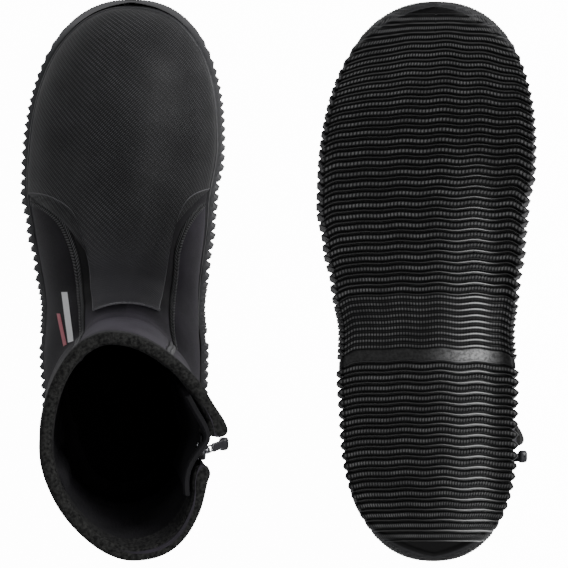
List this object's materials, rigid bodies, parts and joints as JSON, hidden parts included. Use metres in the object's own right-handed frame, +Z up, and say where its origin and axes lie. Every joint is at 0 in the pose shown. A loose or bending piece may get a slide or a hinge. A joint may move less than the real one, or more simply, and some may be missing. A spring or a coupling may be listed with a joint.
{
  "type": "neoprene boots",
  "caption": "Pair of zipped neoprene water-sports boots with ribbed rubber soles, embossed instep guards and open cuffs; one stands upright, one stands sole up.",
  "frame": {"origin": "centre of the pair's bounding box at floor level", "axes": "+Z up, +Y towards the toes, +X from the left boot to the right boot. The right boot is sole up at rest."},
  "size_m": [0.287, 0.3197, 0.23],
  "materials": {
    "sole_rubber": "moulded black rubber, satin with bright edges",
    "rand_rubber": "smooth black rubber, satin",
    "board": "pressed fibre board, dark",
    "insole_foam": "knit-faced foam, dark",
    "neoprene": "nylon-faced neoprene, dark grey with a faint purple cast",
    "guard_mesh": "rubberised mesh, fine diagonal emboss, charcoal",
    "lining_knit": "black knit",
    "binding_tape": "matte elastic binding, charcoal",
    "seam_thread": "black flatlock stitching",
    "stripe_print": "pale print",
    "zip_tape": "woven black tape",
    "zip_plastic": "black moulded plastic",
    "slider_metal": "black coated metal",
    "link_steel": "black coated wire",
    "pull_rubber": "moulded black rubber"
  },
  "bodies": {
    "left_boot": {"left_outsole": "sole_rubber", "left_rand": "rand_rubber", "left_insole_board": "board", "left_insole": "insole_foam", "left_front_panel": "neoprene", "left_lateral_panel": "neoprene", "left_medial_panel": "neoprene", "left_heel_panel": "neoprene", "left_instep_guard": "guard_mesh", "left_heel_guard": "guard_mesh", "left_lining": "lining_knit", "left_zip_gusset": "lining_knit", "left_cuff_binding": "binding_tape", "left_lateral_seam": "seam_thread", "left_medial_seam": "seam_thread", "left_rear_seam": "seam_thread", "left_side_stripes": "stripe_print", "left_zip_tape_front": "zip_tape", "left_zip_tape_rear": "zip_tape", "left_zip_teeth_front": "zip_plastic", "left_zip_teeth_rear": "zip_plastic", "left_zip_top_stops": "zip_plastic", "left_zip_bottom_stop": "zip_plastic"},
    "left_slider": {"left_zip_slider": "slider_metal"},
    "left_pull": {"left_pull_link": "link_steel", "left_pull_tab": "pull_rubber"},
    "right_boot": {"right_outsole": "sole_rubber", "right_rand": "rand_rubber", "right_insole_board": "board", "right_insole": "insole_foam", "right_front_panel": "neoprene", "right_lateral_panel": "neoprene", "right_medial_panel": "neoprene", "right_heel_panel": "neoprene", "right_instep_guard": "guard_mesh", "right_heel_guard": "guard_mesh", "right_lining": "lining_knit", "right_zip_gusset": "lining_knit", "right_cuff_binding": "binding_tape", "right_lateral_seam": "seam_thread", "right_medial_seam": "seam_thread", "right_rear_seam": "seam_thread", "right_side_stripes": "stripe_print", "right_zip_tape_front": "zip_tape", "right_zip_tape_rear": "zip_tape", "right_zip_teeth_front": "zip_plastic", "right_zip_teeth_rear": "zip_plastic", "right_zip_top_stops": "zip_plastic", "right_zip_bottom_stop": "zip_plastic"},
    "right_slider": {"right_zip_slider": "slider_metal"},
    "right_pull": {"right_pull_link": "link_steel", "right_pull_tab": "pull_rubber"}
  },
  "joints": [
    {"name": "left_zip_slide", "type": "slide", "parent": "left_boot", "child": "left_slider", "axis": [-0.0687, 0.092, -0.9934], "range_m": [0, 0.14]},
    {"name": "left_pull_hinge", "type": "hinge", "parent": "left_slider", "child": "left_pull", "pos_m": [-0.03528, -0.08879, 0.21601], "axis": [0, -0.9957, -0.0922], "range_deg": [-8, 140]},
    {"name": "right_boot_turn", "type": "hinge", "parent": "left_boot", "child": "right_boot", "pos_m": [0.1116, -0.0169, 0.115], "axis": [0, 1, 0], "range_deg": [0, 180]},
    {"name": "right_zip_slide", "type": "slide", "parent": "right_boot", "child": "right_slider", "axis": [-0.0687, 0.092, 0.9934], "range_m": [0, 0.14]},
    {"name": "right_pull_hinge", "type": "hinge", "parent": "right_slider", "child": "right_pull", "pos_m": [0.13172, -0.10079, 0.01399], "axis": [0, 0.9957, -0.0922], "range_deg": [-8, 140]}
  ]
}
